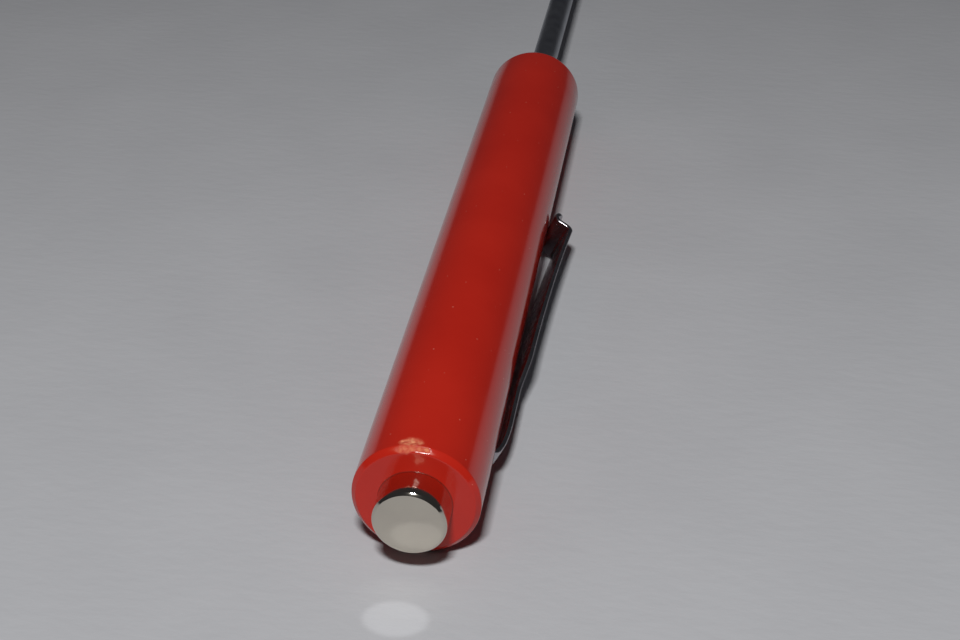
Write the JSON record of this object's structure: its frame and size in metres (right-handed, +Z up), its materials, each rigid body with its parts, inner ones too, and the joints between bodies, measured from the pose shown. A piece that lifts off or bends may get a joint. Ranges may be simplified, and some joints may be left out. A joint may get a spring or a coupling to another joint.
{
  "type": "pocket screwdriver",
  "caption": "Slim pocket screwdriver with a round plastic handle, a pull-out reversible blade, a spring pocket clip and a pick-up magnet in its butt.",
  "frame": {"origin": "centre of the magnet's working face, at the butt of the tool", "axes": "+Y along the tool from the magnet to the blade's tip, +Z up as the tool lies on a table on its handle and clip, the clip on the +X side"},
  "size_m": [0.0137, 0.1395, 0.0112],
  "materials": {
    "handle_plastic": "glossy",
    "magnet_nickel": "mirror nickel plate",
    "adhesive": "satin",
    "clip_steel": "dark bright plate",
    "socket_steel": "turned",
    "blade_steel": "satin"
  },
  "bodies": {
    "grip": {"handle": "handle_plastic", "magnet": "magnet_nickel", "magnet_adhesive": "adhesive", "clip_tang": "clip_steel", "blade_socket": "socket_steel", "detent_ring": "socket_steel"},
    "clip": {"clip_arm": "clip_steel"},
    "driver": {"blade": "blade_steel"}
  },
  "joints": [
    {"name": "clip_flex", "type": "hinge", "parent": "grip", "child": "clip", "pos_m": [0.0057, 0.019, -0.00281], "axis": [-0.4415, 0, -0.8973], "range_deg": [0, 5], "stiffness_Nm_per_rad": 0.5},
    {"name": "blade_slide", "type": "slide", "parent": "grip", "child": "driver", "axis": [0, 1, 0], "range_m": [0, 0.06]}
  ]
}
